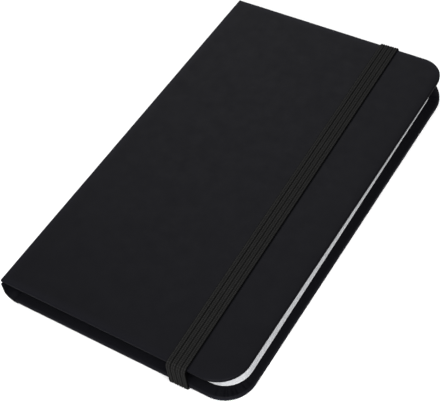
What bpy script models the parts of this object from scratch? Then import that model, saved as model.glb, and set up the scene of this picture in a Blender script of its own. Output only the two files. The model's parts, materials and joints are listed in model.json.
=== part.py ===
"""Pocket notebook, closed, lying on its back cover with its elastic band round it.

World frame: +X from the spine to the fore-edge, +Y along the spine from tail to head, +Z up.
The origin is the middle of the bounding box's underside. Lengths are in metres.

Sections across the book are drawn in "book x", which is 0 on the line where the front cover
folds, at the outer face of the spine. BOOK_ORIGIN_X turns book x into world x.
"""

import math

import bmesh
import bpy

# ---- Driving dimensions -------------------------------------------------------------------

COVER_LENGTH = 0.150
FRONT_COVER_WIDTH = 0.0864
BACK_COVER_SHIFT = 0.0020
COVER_CORNER_RADIUS = 0.0110

BOARD_THICKNESS = 0.0010
WRAP_THICKNESS = 0.00035
TURN_IN_WIDTH = 0.0140
PASTEDOWN_THICKNESS = 0.00015

SIGNATURES_PER_HALF = 3
SIGNATURE_THICKNESS = 0.00066
FLYLEAF_THICKNESS = 0.00015
PAGE_CORNER_RADIUS = 0.0090
HEAD_AND_TAIL_SQUARE = 0.0036
FORE_EDGE_SQUARE = 0.0011
FORE_EDGE_SKEW = math.radians(0.58)
PASTEDOWN_MARGIN = 0.0042

SPINE_WALL_SETBACK = 0.00035
BACK_SPINE_RADIUS = 0.0040
SPINE_LINER_THICKNESS = 0.0003
MULL_THICKNESS = 0.00015
MULL_SETBACK = 0.00155
THREAD_DIAMETER = 0.0003
STITCH_COUNT = 4
STITCH_PITCH = 0.030

ELASTIC_WIDTH = 0.0069
ELASTIC_THICKNESS = 0.0006
ELASTIC_CENTRE = 0.0659
ELASTIC_ANGLE = math.radians(1.56)
ELASTIC_SLOT_INSET = 0.0130
ELASTIC_TONGUE_LENGTH = 0.0100
ELASTIC_TONGUE_THICKNESS = 0.0003

# ---- Clearances ---------------------------------------------------------------------------

LAYER_GAP = 0.0001
FOLD_CLEARANCE = 0.0001
BOARD_FOLD_MARGIN = 0.0004
SLOT_CLEARANCE = 0.0003
ELASTIC_JOIN_GAP = 0.0003
CUT_OVERRUN = 0.0010

ARC_STEPS = 8

# ---- Heights, from the underside of the elastic upwards ------------------------------------

COVER_THICKNESS = 2 * WRAP_THICKNESS + BOARD_THICKNESS + 2 * LAYER_GAP
BACK_OUTER_Z = ELASTIC_THICKNESS + LAYER_GAP
BACK_INNER_Z = BACK_OUTER_Z + COVER_THICKNESS
BACK_PASTEDOWN_TOP_Z = BACK_INNER_Z + LAYER_GAP + PASTEDOWN_THICKNESS
BACK_FLYLEAF_Z = BACK_PASTEDOWN_TOP_Z + LAYER_GAP
BACK_PAGES_Z = BACK_FLYLEAF_Z + FLYLEAF_THICKNESS + LAYER_GAP
PAGE_PITCH = SIGNATURE_THICKNESS + LAYER_GAP
MIDDLE_Z = BACK_PAGES_Z + SIGNATURES_PER_HALF * PAGE_PITCH - LAYER_GAP / 2
FRONT_OUTER_Z = 2 * MIDDLE_Z - BACK_OUTER_Z
FRONT_INNER_Z = FRONT_OUTER_Z - COVER_THICKNESS
ELASTIC_TOP_Z = FRONT_OUTER_Z + LAYER_GAP

# ---- Places across the book, in book x -----------------------------------------------------

FRONT_SPINE_EDGE = FOLD_CLEARANCE
FRONT_FORE_EDGE = FRONT_SPINE_EDGE + FRONT_COVER_WIDTH
BACK_FORE_EDGE = FRONT_FORE_EDGE + BACK_COVER_SHIFT
BACK_SPINE_EDGE = SPINE_WALL_SETBACK + BACK_SPINE_RADIUS
BOARD_INSET = WRAP_THICKNESS + LAYER_GAP
BACK_BOARD_EDGE = BACK_SPINE_EDGE + BOARD_FOLD_MARGIN
BOARD_WIDTH = BACK_FORE_EDGE - BOARD_INSET - BACK_BOARD_EDGE
SPINE_LINER_X = SPINE_WALL_SETBACK + WRAP_THICKNESS + LAYER_GAP
THREAD_X = MULL_SETBACK + MULL_THICKNESS + LAYER_GAP + THREAD_DIAMETER / 2
PAGE_SPINE_EDGE = THREAD_X + THREAD_DIAMETER / 2 + 1.5 * LAYER_GAP
PAGE_FORE_EDGE = FRONT_FORE_EDGE - FORE_EDGE_SQUARE
BOOK_ORIGIN_X = -(FRONT_SPINE_EDGE + BACK_FORE_EDGE) / 2

# ---- Half lengths along the spine ----------------------------------------------------------

COVER_HALF = COVER_LENGTH / 2
BOARD_HALF = COVER_HALF - BOARD_INSET
PAGE_HALF = COVER_HALF - HEAD_AND_TAIL_SQUARE
PASTEDOWN_HALF = COVER_HALF - PASTEDOWN_MARGIN
LEG_INNER_Y = COVER_HALF + LAYER_GAP + ELASTIC_WIDTH / 2 * math.sin(ELASTIC_ANGLE)
LEG_OUTER_Y = LEG_INNER_Y + ELASTIC_THICKNESS
SLOT_Y = COVER_HALF - ELASTIC_SLOT_INSET


def clear_scene():
    """Removes every object that the file starts with."""
    for obj in list(bpy.data.objects):
        bpy.data.objects.remove(obj, do_unlink=True)


def new_collection(name):
    collection = bpy.data.collections.new(name)
    bpy.context.scene.collection.children.link(collection)
    return collection


def new_material(name, colour, roughness):
    """A Principled material of one colour. None of the notebook's materials is metallic."""
    material = bpy.data.materials.new(name)
    material.use_nodes = True
    shader = material.node_tree.nodes["Principled BSDF"]
    shader.inputs["Base Color"].default_value = (*colour, 1.0)
    shader.inputs["Roughness"].default_value = roughness
    shader.inputs["Metallic"].default_value = 0.0
    material.diffuse_color = (*colour, 1.0)
    return material


def new_axis(name, book_x, z):
    """An empty on a fold line, which the pieces that turn or slide with it hang from."""
    empty = bpy.data.objects.new(name, None)
    empty.location = (BOOK_ORIGIN_X + book_x, 0.0, z)
    PARTS.objects.link(empty)
    return empty


def hang(obj, axis, material=None):
    """Parents an object to an axis and leaves it where it is."""
    bpy.context.view_layer.update()
    world = obj.matrix_world.copy()
    obj.parent = axis
    obj.matrix_parent_inverse = axis.matrix_world.inverted()
    obj.matrix_world = world
    if material is not None:
        obj.data.materials.clear()
        obj.data.materials.append(material)
    return obj


# ---- Outlines -----------------------------------------------------------------------------


def arc(centre, radius, first_degrees, last_degrees):
    """Points on an arc, both ends included."""
    points = []
    for step in range(ARC_STEPS + 1):
        angle = math.radians(first_degrees + (last_degrees - first_degrees) * step / ARC_STEPS)
        points.append((centre[0] + radius * math.cos(angle), centre[1] + radius * math.sin(angle)))
    return points


def book_outline(spine_edge, fore_edge, half, radius):
    """A leaf's outline: square at the spine, rounded at the fore-edge. x is in book x."""
    lower = arc((fore_edge - radius, radius - half), radius, -90, 0)
    upper = arc((fore_edge - radius, half - radius), radius, 0, 90)
    return [(spine_edge, -half)] + lower + upper + [(spine_edge, half)]


def new_plate(name, points, thickness):
    """A flat outline, extruded by half the thickness to each side of its own plane."""
    curve = bpy.data.curves.new(name, "CURVE")
    curve.dimensions = "2D"
    curve.fill_mode = "BOTH"
    curve.extrude = thickness / 2
    spline = curve.splines.new("POLY")
    spline.points.add(len(points) - 1)
    for point, (x, y) in zip(spline.points, points):
        point.co = (x, y, 0.0, 1.0)
    spline.use_cyclic_u = True
    obj = bpy.data.objects.new(name, curve)
    PARTS.objects.link(obj)
    return obj


def new_leaf(name, outline, bottom, top):
    """A flat piece lying in the book between two heights."""
    leaf = new_plate(name, outline, top - bottom)
    leaf.location = (BOOK_ORIGIN_X, 0.0, (bottom + top) / 2)
    return leaf


def new_strip(name, section, half):
    """A piece of one cross-section, drawn in book x and height, running along the spine."""
    strip = new_plate(name, section, 2 * half)
    strip.rotation_euler = (math.pi / 2, 0.0, 0.0)
    strip.location = (BOOK_ORIGIN_X, 0.0, 0.0)
    return strip


def rectangle(x_low, x_high, z_low, z_high):
    return [(x_low, z_low), (x_high, z_low), (x_high, z_high), (x_low, z_high)]


# ---- Cutting and joining ------------------------------------------------------------------


def as_mesh(obj):
    """Replaces a curve by a mesh of the same shape whose caps are welded on."""
    bpy.context.view_layer.update()
    graph = bpy.context.evaluated_depsgraph_get()
    mesh = bpy.data.meshes.new_from_object(obj.evaluated_get(graph))
    shape = bmesh.new()
    shape.from_mesh(mesh)
    bmesh.ops.remove_doubles(shape, verts=shape.verts, dist=1e-6)
    bmesh.ops.recalc_face_normals(shape, faces=shape.faces)
    shape.to_mesh(mesh)
    shape.free()
    name = obj.name
    world = obj.matrix_world.copy()
    bpy.data.objects.remove(obj, do_unlink=True)
    solid = bpy.data.objects.new(name, mesh)
    solid.matrix_world = world
    PARTS.objects.link(solid)
    return solid


def as_tool(obj):
    """Turns a piece into a cutter or an addition, which isn't part of the notebook."""
    tool = as_mesh(obj)
    PARTS.objects.unlink(tool)
    CUTTERS.objects.link(tool)
    tool.hide_render = True
    tool.display_type = "WIRE"
    return tool


def combine(solid, tool, operation):
    """Adds a Boolean to a piece: DIFFERENCE takes the tool away, UNION joins it on."""
    boolean = solid.modifiers.new(tool.name, "BOOLEAN")
    boolean.operation = operation
    boolean.solver = "EXACT"
    boolean.object = tool


def new_box_tool(name, size, location, angle):
    """A box that cuts a slot or a recess, turned with the elastic that goes through it."""
    mesh = bpy.data.meshes.new(name)
    shape = bmesh.new()
    bmesh.ops.create_cube(shape, size=1.0)
    bmesh.ops.scale(shape, vec=size, verts=shape.verts)
    shape.to_mesh(mesh)
    shape.free()
    tool = bpy.data.objects.new(name, mesh)
    tool.location = location
    tool.rotation_euler = (0.0, 0.0, angle)
    tool.hide_render = True
    tool.display_type = "WIRE"
    CUTTERS.objects.link(tool)
    return tool


def elastic_x(y):
    """World x of the middle of the elastic where it crosses a given y."""
    return BOOK_ORIGIN_X + ELASTIC_CENTRE - y * math.tan(ELASTIC_ANGLE)


# ---- The case: wraps and boards ------------------------------------------------------------


def board_cavity(name, spine_end, fore_edge, bottom, top):
    """The room inside a wrap for its board, open towards the spine."""
    inset = WRAP_THICKNESS
    outline = book_outline(spine_end, fore_edge - inset, COVER_HALF - inset,
                           COVER_CORNER_RADIUS - inset)
    return as_tool(new_leaf(name, outline, bottom, top))


def turn_in_window(name, spine_end, fore_edge, bottom, top):
    """The opening that the turned-in edges of a wrap leave round the pastedown."""
    outline = book_outline(spine_end, fore_edge - TURN_IN_WIDTH, COVER_HALF - TURN_IN_WIDTH,
                           COVER_CORNER_RADIUS / 2)
    return as_tool(new_leaf(name, outline, bottom, top))


def build_front_wrap(axis):
    """The front half of the case's covering, folded down over the front half of the spine."""
    outline = book_outline(FRONT_SPINE_EDGE, FRONT_FORE_EDGE, COVER_HALF, COVER_CORNER_RADIUS)
    wrap = as_mesh(new_leaf("cover_wrap_front", outline, FRONT_INNER_Z, FRONT_OUTER_Z))

    cavity_bottom = FRONT_INNER_Z + WRAP_THICKNESS
    cavity_top = FRONT_OUTER_Z - WRAP_THICKNESS
    fold_inner = FRONT_SPINE_EDGE + WRAP_THICKNESS
    cavity = board_cavity("front_cavity", fold_inner, FRONT_FORE_EDGE, cavity_bottom, cavity_top)

    window_start = SPINE_LINER_X
    window = turn_in_window("front_window", window_start, FRONT_FORE_EDGE,
                            FRONT_INNER_Z - CUT_OVERRUN, cavity_bottom + LAYER_GAP)

    wall = rectangle(SPINE_WALL_SETBACK, SPINE_WALL_SETBACK + WRAP_THICKNESS,
                     MIDDLE_Z + LAYER_GAP / 2, FRONT_INNER_Z + WRAP_THICKNESS / 2)
    combine(wrap, cavity, "DIFFERENCE")
    combine(wrap, window, "DIFFERENCE")
    combine(wrap, as_tool(new_strip("front_spine_wall", wall, COVER_HALF)), "UNION")
    return hang(wrap, axis, COVERING)


def spine_curve(centre, radius, top):
    """The back half of the spine's profile: upright from its top, then curved under."""
    cut_off = max(0.0, centre[1] - top)
    start = 180 + math.degrees(math.asin(cut_off / radius))
    curve = arc(centre, radius, start, 270)
    if centre[1] < top:
        return [(centre[0] - radius, top)] + curve
    return curve


def back_spine_section(outer_radius, thickness, top, lap):
    """A layer of the spine's back half in section, running on by a lap into the back cover."""
    centre = (BACK_SPINE_EDGE, BACK_OUTER_Z + BACK_SPINE_RADIUS)
    outer = spine_curve(centre, outer_radius, top)
    inner = spine_curve(centre, outer_radius - thickness, top)
    if lap > 0:
        outer.append((centre[0] + lap, centre[1] - outer_radius))
        inner.append((centre[0] + lap, centre[1] - outer_radius + thickness))
    return outer + inner[::-1]


def build_back_wrap(axis):
    """The back half of the covering, with the back half of the spine and the elastic's slots."""
    outline = book_outline(BACK_SPINE_EDGE, BACK_FORE_EDGE, COVER_HALF, COVER_CORNER_RADIUS)
    wrap = as_mesh(new_leaf("cover_wrap_back", outline, BACK_OUTER_Z, BACK_INNER_Z))

    cavity_bottom = BACK_OUTER_Z + WRAP_THICKNESS
    cavity_top = BACK_INNER_Z - WRAP_THICKNESS
    open_end = BACK_SPINE_EDGE - CUT_OVERRUN
    cavity = board_cavity("back_cavity", open_end, BACK_FORE_EDGE, cavity_bottom, cavity_top)
    window = turn_in_window("back_window", open_end, BACK_FORE_EDGE,
                            cavity_top - LAYER_GAP, BACK_INNER_Z + CUT_OVERRUN)

    section = back_spine_section(BACK_SPINE_RADIUS, WRAP_THICKNESS, MIDDLE_Z - LAYER_GAP / 2,
                                 CUT_OVERRUN)
    combine(wrap, cavity, "DIFFERENCE")
    combine(wrap, window, "DIFFERENCE")
    combine(wrap, as_tool(new_strip("back_spine_wall", section, COVER_HALF)), "UNION")
    for tool in slot_tools("wrap"):
        combine(wrap, tool, "DIFFERENCE")
    return hang(wrap, axis, COVERING)


def slot_tools(name):
    """Boxes through the back cover where the two ends of the elastic go in."""
    tools = []
    for end, side in (("head", 1), ("tail", -1)):
        size = (ELASTIC_WIDTH + 2 * SLOT_CLEARANCE, ELASTIC_THICKNESS + 2 * SLOT_CLEARANCE,
                2 * COVER_THICKNESS)
        location = (elastic_x(side * SLOT_Y), side * SLOT_Y, BACK_OUTER_Z + COVER_THICKNESS / 2)
        tools.append(new_box_tool(f"{name}_slot_{end}", size, location, ELASTIC_ANGLE))
    return tools


def tongue_tools():
    """Boxes that sink the elastic's glued ends into the back board's inner face."""
    depth = ELASTIC_TONGUE_THICKNESS + 2 * LAYER_GAP
    board_top = BACK_OUTER_Z + BOARD_INSET + BOARD_THICKNESS
    length = ELASTIC_TONGUE_LENGTH + 2 * SLOT_CLEARANCE
    tools = []
    for end, side in (("head", 1), ("tail", -1)):
        size = (ELASTIC_WIDTH + 3 * SLOT_CLEARANCE, length, 2 * depth)
        middle_y = side * (SLOT_Y - ELASTIC_TONGUE_LENGTH / 2)
        location = (elastic_x(middle_y), middle_y, board_top)
        tools.append(new_box_tool(f"tongue_recess_{end}", size, location, ELASTIC_ANGLE))
    return tools


def build_boards(front_axis, back_axis):
    """The two stiff boards, of one width. The back one is cut for the elastic's ends."""
    radius = COVER_CORNER_RADIUS - BOARD_INSET
    front_edge = FRONT_FORE_EDGE - BOARD_INSET
    front_outline = book_outline(front_edge - BOARD_WIDTH, front_edge, BOARD_HALF, radius)
    front_bottom = FRONT_OUTER_Z - BOARD_INSET - BOARD_THICKNESS
    front = new_leaf("front_board", front_outline, front_bottom, front_bottom + BOARD_THICKNESS)
    hang(front, front_axis, GREYBOARD)

    back_outline = book_outline(BACK_BOARD_EDGE, BACK_BOARD_EDGE + BOARD_WIDTH, BOARD_HALF, radius)
    back_bottom = BACK_OUTER_Z + BOARD_INSET
    back = as_mesh(new_leaf("back_board", back_outline, back_bottom, back_bottom + BOARD_THICKNESS))
    for tool in slot_tools("board") + tongue_tools():
        combine(back, tool, "DIFFERENCE")
    hang(back, back_axis, GREYBOARD)


def build_pastedowns(front_axis, back_axis):
    """The sheets glued inside the covers over the turned-in edges."""
    radius = COVER_CORNER_RADIUS - PASTEDOWN_MARGIN / 2
    front_outline = book_outline(PAGE_SPINE_EDGE, FRONT_FORE_EDGE - PASTEDOWN_MARGIN,
                                 PASTEDOWN_HALF, radius)
    front_top = FRONT_INNER_Z - LAYER_GAP
    front = new_leaf("front_pastedown", front_outline, front_top - PASTEDOWN_THICKNESS, front_top)
    hang(front, front_axis, ENDPAPER)

    back_outline = book_outline(BACK_SPINE_EDGE, BACK_FORE_EDGE - PASTEDOWN_MARGIN,
                                PASTEDOWN_HALF, radius)
    back_bottom = BACK_INNER_Z + LAYER_GAP
    back = new_leaf("back_pastedown", back_outline, back_bottom, back_bottom + PASTEDOWN_THICKNESS)
    hang(back, back_axis, ENDPAPER)


# ---- The spine's inside ---------------------------------------------------------------------


def build_spine_liners(front_axis, back_axis):
    """The card that stiffens the spine, scored along its middle so that it folds there."""
    inner = SPINE_LINER_X + SPINE_LINER_THICKNESS
    section = rectangle(SPINE_LINER_X, inner, MIDDLE_Z + LAYER_GAP / 2, FRONT_INNER_Z - LAYER_GAP)
    front = new_strip("spine_liner_front", section, COVER_HALF - TURN_IN_WIDTH / 2)
    hang(front, front_axis, GREYBOARD)

    radius = BACK_SPINE_RADIUS - WRAP_THICKNESS - LAYER_GAP
    section = back_spine_section(radius, SPINE_LINER_THICKNESS, MIDDLE_Z - LAYER_GAP / 2, 0.0)
    back = new_strip("spine_liner_back", section, COVER_HALF - TURN_IN_WIDTH / 2)
    hang(back, back_axis, GREYBOARD)


def build_mulls(front_axis, back_axis):
    """The gauze glued over the folds of the signatures."""
    inner = MULL_SETBACK + MULL_THICKNESS
    front_top = MIDDLE_Z + SIGNATURES_PER_HALF * PAGE_PITCH
    section = rectangle(MULL_SETBACK, inner, MIDDLE_Z + LAYER_GAP / 2, front_top)
    front = new_strip("mull_front", section, PAGE_HALF)
    hang(front, front_axis, GAUZE)

    back_bottom = MIDDLE_Z - SIGNATURES_PER_HALF * PAGE_PITCH + LAYER_GAP
    section = rectangle(MULL_SETBACK, inner, back_bottom, MIDDLE_Z - LAYER_GAP / 2)
    back = new_strip("mull_back", section, PAGE_HALF)
    hang(back, back_axis, GAUZE)


def build_thread(name, y, bottom, top, axis):
    """One stitch: the run of sewing thread across the folds of three signatures."""
    curve = bpy.data.curves.new(name, "CURVE")
    curve.dimensions = "3D"
    curve.bevel_depth = THREAD_DIAMETER / 2
    curve.bevel_resolution = 2
    curve.use_fill_caps = True
    spline = curve.splines.new("POLY")
    spline.points.add(1)
    spline.points[0].co = (0.0, 0.0, -(top - bottom) / 2, 1.0)
    spline.points[1].co = (0.0, 0.0, (top - bottom) / 2, 1.0)
    thread = bpy.data.objects.new(name, curve)
    thread.location = (BOOK_ORIGIN_X + THREAD_X, y, (bottom + top) / 2)
    PARTS.objects.link(thread)
    hang(thread, axis, THREAD)


def build_sewing(front_axis, back_axis):
    """The stitches, evenly spaced along the spine, in a front and a back run at each place."""
    height = SIGNATURES_PER_HALF * PAGE_PITCH - LAYER_GAP
    for index in range(STITCH_COUNT):
        y = (index - (STITCH_COUNT - 1) / 2) * STITCH_PITCH
        front_bottom = MIDDLE_Z + LAYER_GAP
        build_thread(f"thread_front_{index + 1}", y, front_bottom, front_bottom + height,
                     front_axis)
        back_top = MIDDLE_Z - LAYER_GAP
        build_thread(f"thread_back_{index + 1}", y, back_top - height, back_top, back_axis)


# ---- The text block -------------------------------------------------------------------------


def page_outline():
    """A leaf's outline. The block is trimmed a little askew, so it is widest at the tail."""
    inner_y = PAGE_HALF - PAGE_CORNER_RADIUS
    inner_x = PAGE_FORE_EDGE - PAGE_CORNER_RADIUS
    skew = inner_y * math.tan(FORE_EDGE_SKEW)
    lower = arc((inner_x + skew, -inner_y), PAGE_CORNER_RADIUS, -90, 0)
    upper = arc((inner_x - skew, inner_y), PAGE_CORNER_RADIUS, 0, 90)
    return [(PAGE_SPINE_EDGE, -PAGE_HALF)] + lower + upper + [(PAGE_SPINE_EDGE, PAGE_HALF)]


def build_turning_leaves():
    """The front flyleaf and the front signatures, each on its own axis in the spine."""
    for index in range(SIGNATURES_PER_HALF):
        place = SIGNATURES_PER_HALF - 1 - index
        bottom = MIDDLE_Z + LAYER_GAP / 2 + place * PAGE_PITCH
        name = f"signature_{index + 1}"
        axis = new_axis(f"{name}_axis", 0.0, MIDDLE_Z)
        leaf = new_leaf(name, page_outline(), bottom, bottom + SIGNATURE_THICKNESS)
        hang(leaf, axis, PAPER)
    bottom = MIDDLE_Z + LAYER_GAP / 2 + SIGNATURES_PER_HALF * PAGE_PITCH
    axis = new_axis("front_flyleaf_axis", 0.0, MIDDLE_Z)
    flyleaf = new_leaf("front_flyleaf", page_outline(), bottom, bottom + FLYLEAF_THICKNESS)
    hang(flyleaf, axis, ENDPAPER)


def build_still_leaves(back_axis):
    """The back signatures and the back flyleaf, which stay on the back cover."""
    for index in range(SIGNATURES_PER_HALF):
        bottom = MIDDLE_Z + LAYER_GAP / 2 - (index + 1) * PAGE_PITCH
        name = f"signature_{SIGNATURES_PER_HALF + index + 1}"
        leaf = new_leaf(name, page_outline(), bottom, bottom + SIGNATURE_THICKNESS)
        hang(leaf, back_axis, PAPER)
    flyleaf = new_leaf("back_flyleaf", page_outline(), BACK_FLYLEAF_Z,
                       BACK_FLYLEAF_Z + FLYLEAF_THICKNESS)
    hang(flyleaf, back_axis, ENDPAPER)


# ---- The elastic ----------------------------------------------------------------------------


def elastic_plate(name, section, y):
    """A piece of elastic from its side view, in y and height, as wide as the elastic."""
    piece = new_plate(name, section, ELASTIC_WIDTH)
    piece.rotation_euler = (math.pi / 2, 0.0, math.pi / 2 + ELASTIC_ANGLE)
    piece.location = (elastic_x(y), y, 0.0)
    return piece


def build_elastic_band(axis):
    """The part that comes off: across the front cover and down past the head and the tail."""
    stretch = 1 / math.cos(ELASTIC_ANGLE)
    inner = LEG_INNER_Y * stretch
    outer = LEG_OUTER_Y * stretch
    foot = ELASTIC_THICKNESS + ELASTIC_JOIN_GAP
    top = ELASTIC_TOP_Z + ELASTIC_THICKNESS
    section = [(-outer, foot), (-inner, foot), (-inner, ELASTIC_TOP_Z), (inner, ELASTIC_TOP_Z),
               (inner, foot), (outer, foot), (outer, top), (-outer, top)]
    hang(elastic_plate("elastic_band", section, 0.0), axis, ELASTIC)


def build_elastic_tab(end, side, axis):
    """One fixed end: flat under the back cover, up through its slot and glued inside."""
    run = LEG_OUTER_Y - SLOT_Y
    riser = ELASTIC_THICKNESS / 2
    tongue_top = BACK_OUTER_Z + BOARD_INSET + BOARD_THICKNESS - LAYER_GAP
    tongue_bottom = tongue_top - ELASTIC_TONGUE_THICKNESS
    section = [(-riser, 0.0), (run, 0.0), (run, ELASTIC_THICKNESS), (riser, ELASTIC_THICKNESS),
               (riser, tongue_top), (-ELASTIC_TONGUE_LENGTH, tongue_top),
               (-ELASTIC_TONGUE_LENGTH, tongue_bottom), (-riser, tongue_bottom)]
    section = [(side * y, z) for y, z in section]
    hang(elastic_plate(f"elastic_tab_{end}", section, side * SLOT_Y), axis, ELASTIC)


clear_scene()
PARTS = new_collection("pocket_notebook")
CUTTERS = new_collection("cutters")

COVERING = new_material("soft_black_covering", (0.0160, 0.0150, 0.0170), 0.55)
GREYBOARD = new_material("greyboard", (0.300, 0.290, 0.270), 0.90)
PAPER = new_material("white_paper", (0.800, 0.795, 0.775), 0.85)
ENDPAPER = new_material("end_paper", (0.780, 0.770, 0.745), 0.85)
GAUZE = new_material("gauze", (0.700, 0.690, 0.650), 0.95)
THREAD = new_material("linen_thread", (0.720, 0.710, 0.680), 0.80)
ELASTIC = new_material("black_elastic", (0.0180, 0.0175, 0.0185), 0.80)

back_half_axis = new_axis("back_half", 0.0, 0.0)
front_cover_axis = new_axis("front_cover_axis", 0.0, MIDDLE_Z)
elastic_axis = new_axis("elastic_axis", ELASTIC_CENTRE, ELASTIC_TOP_Z)

build_front_wrap(front_cover_axis)
build_back_wrap(back_half_axis)
build_boards(front_cover_axis, back_half_axis)
build_pastedowns(front_cover_axis, back_half_axis)
build_spine_liners(front_cover_axis, back_half_axis)
build_mulls(front_cover_axis, back_half_axis)
build_sewing(front_cover_axis, back_half_axis)
build_turning_leaves()
build_still_leaves(back_half_axis)
build_elastic_band(elastic_axis)
build_elastic_tab("head", 1, back_half_axis)
build_elastic_tab("tail", -1, back_half_axis)
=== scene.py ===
"""Looks of the pocket notebook: soft black covers, sewn pages and a ribbed elastic band."""

import contextlib
import functools
import json
import logging
import math
import random
from dataclasses import dataclass, field
from enum import Enum
from typing import Callable, Iterator

import bmesh
import bpy
from mathutils import Matrix, Vector

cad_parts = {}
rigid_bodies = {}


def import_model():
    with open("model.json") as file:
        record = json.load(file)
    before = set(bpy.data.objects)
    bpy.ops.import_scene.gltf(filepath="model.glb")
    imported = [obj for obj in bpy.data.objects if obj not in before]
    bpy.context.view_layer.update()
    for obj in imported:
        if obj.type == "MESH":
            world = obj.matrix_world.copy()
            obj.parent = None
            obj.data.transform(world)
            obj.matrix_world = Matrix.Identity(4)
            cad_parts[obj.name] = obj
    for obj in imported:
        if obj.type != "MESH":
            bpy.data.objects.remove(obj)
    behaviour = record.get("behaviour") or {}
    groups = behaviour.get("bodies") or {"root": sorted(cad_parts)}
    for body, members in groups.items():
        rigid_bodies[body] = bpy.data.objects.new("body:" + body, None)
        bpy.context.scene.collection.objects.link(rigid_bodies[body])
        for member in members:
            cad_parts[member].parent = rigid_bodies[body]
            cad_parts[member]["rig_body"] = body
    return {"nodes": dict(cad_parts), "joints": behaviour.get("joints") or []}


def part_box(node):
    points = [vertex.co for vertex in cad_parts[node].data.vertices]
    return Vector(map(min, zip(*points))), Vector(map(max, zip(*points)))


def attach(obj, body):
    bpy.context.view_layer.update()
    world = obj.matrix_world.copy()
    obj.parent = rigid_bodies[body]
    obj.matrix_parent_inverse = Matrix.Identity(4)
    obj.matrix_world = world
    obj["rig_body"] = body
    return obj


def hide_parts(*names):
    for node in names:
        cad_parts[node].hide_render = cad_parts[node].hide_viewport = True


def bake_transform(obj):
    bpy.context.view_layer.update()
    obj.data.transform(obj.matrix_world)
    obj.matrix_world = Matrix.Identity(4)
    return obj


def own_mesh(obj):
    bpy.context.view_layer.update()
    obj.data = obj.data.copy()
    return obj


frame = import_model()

LOG = logging.getLogger("pocket_notebook")
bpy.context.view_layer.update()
MM = 0.001

Point = tuple[float, float]
Point3 = tuple[float, float, float]


class Body(Enum):
    """Bodies of the frame that pieces ride on."""

    BACK_HALF = "back_half"
    FRONT_COVER = "front_cover"
    FRONT_FLYLEAF = "front_flyleaf"
    SIGNATURE_3 = "signature_3"
    ELASTIC = "elastic"


class Joint(Enum):
    """Joints of the frame, by name."""

    COVER = "front_cover_hinge"


class Slot(Enum):
    """Material slots of the record."""

    COVERING = "covering"
    GREYBOARD = "greyboard"
    PAPER = "paper"
    END_PAPER = "end_paper"
    GAUZE = "gauze"
    THREAD = "thread"
    ELASTIC = "elastic"


class Side(Enum):
    """Which way a cover's outer face looks: its value is the sign of z."""

    FRONT = 1
    BACK = -1


class End(Enum):
    """Ends of the spine: the value is the sign of y."""

    HEAD = 1
    TAIL = -1


# ---- Modelling by hand ----------------------------------------------------------------------


def deselect_all() -> None:
    """Leaves nothing selected and nothing active."""
    for obj in bpy.context.selected_objects:
        obj.select_set(False)
    bpy.context.view_layer.objects.active = None


def pick(obj: bpy.types.Object) -> bpy.types.Object:
    """Selects one object alone and makes it active.

    Args:
        obj: The object to pick.

    Returns:
        The same object.
    """
    deselect_all()
    obj.select_set(True)
    bpy.context.view_layer.objects.active = obj
    return obj


@contextlib.contextmanager
def editing(obj: bpy.types.Object, mode: str = "FACE") -> Iterator[bmesh.types.BMesh]:
    """Opens an object in edit mode with nothing selected.

    Args:
        obj: The mesh object to edit.
        mode: What is selected: FACE or EDGE.

    Returns:
        Its edit mesh, while the block lasts.
    """
    pick(obj)
    bpy.ops.object.mode_set(mode="EDIT")
    bpy.ops.mesh.select_mode(type=mode)
    bpy.ops.mesh.select_all(action="DESELECT")
    try:
        yield bmesh.from_edit_mesh(obj.data)
    finally:
        bpy.ops.object.mode_set(mode="OBJECT")


def select_faces(obj: bpy.types.Object, test: Callable[[bmesh.types.BMFace], bool]) -> int:
    """Selects the faces that pass a test, and no others.

    Args:
        obj: The object in edit mode.
        test: Says whether a face is wanted.

    Returns:
        How many faces are selected.
    """
    bpy.ops.mesh.select_all(action="DESELECT")
    shape = bmesh.from_edit_mesh(obj.data)
    count = 0
    for face in shape.faces:
        if test(face):
            face.select_set(True)
            count += 1
    bmesh.update_edit_mesh(obj.data)
    return count


def flat_piece(name: str, outline: list[Point], z: float) -> bpy.types.Object:
    """A flat face of any outline, made from a filled circle whose points are moved.

    Args:
        name: Name of the piece.
        outline: Corners in order, anticlockwise from above.
        z: Height of the face.

    Returns:
        The new object.
    """
    deselect_all()
    bpy.ops.mesh.primitive_circle_add(vertices=len(outline), fill_type="NGON")
    obj = bpy.context.active_object
    obj.name = name
    obj.data.name = name
    ring = sorted(obj.data.vertices, key=lambda v: math.atan2(v.co.y, v.co.x) % (2 * math.pi))
    for vertex, (x, y) in zip(ring, outline):
        vertex.co = (x, y, z)
    return obj


def thicken(obj: bpy.types.Object, height: float) -> None:
    """Extrudes a flat piece straight up, and points its faces outwards.

    Args:
        obj: The flat piece.
        height: How far, in metres.
    """
    with editing(obj):
        bpy.ops.mesh.select_all(action="SELECT")
        bpy.ops.mesh.extrude_region_move(TRANSFORM_OT_translate={"value": (0, 0, height)})
    tidy_normals(obj)


def tidy_normals(obj: bpy.types.Object) -> None:
    """Merges doubles and turns all faces outwards.

    Args:
        obj: The mesh object.
    """
    with editing(obj):
        bpy.ops.mesh.select_all(action="SELECT")
        bpy.ops.mesh.remove_doubles(threshold=1e-7)
        bpy.ops.mesh.normals_make_consistent(inside=False)


def join_pieces(pieces: list[bpy.types.Object], name: str) -> bpy.types.Object:
    """Joins several mesh objects into one.

    Args:
        pieces: The objects, of which the first one stays.
        name: Its new name.

    Returns:
        The joined object.
    """
    deselect_all()
    for piece in pieces:
        piece.select_set(True)
    bpy.context.view_layer.objects.active = pieces[0]
    bpy.ops.object.join()
    pieces[0].name = name
    return pieces[0]


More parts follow.
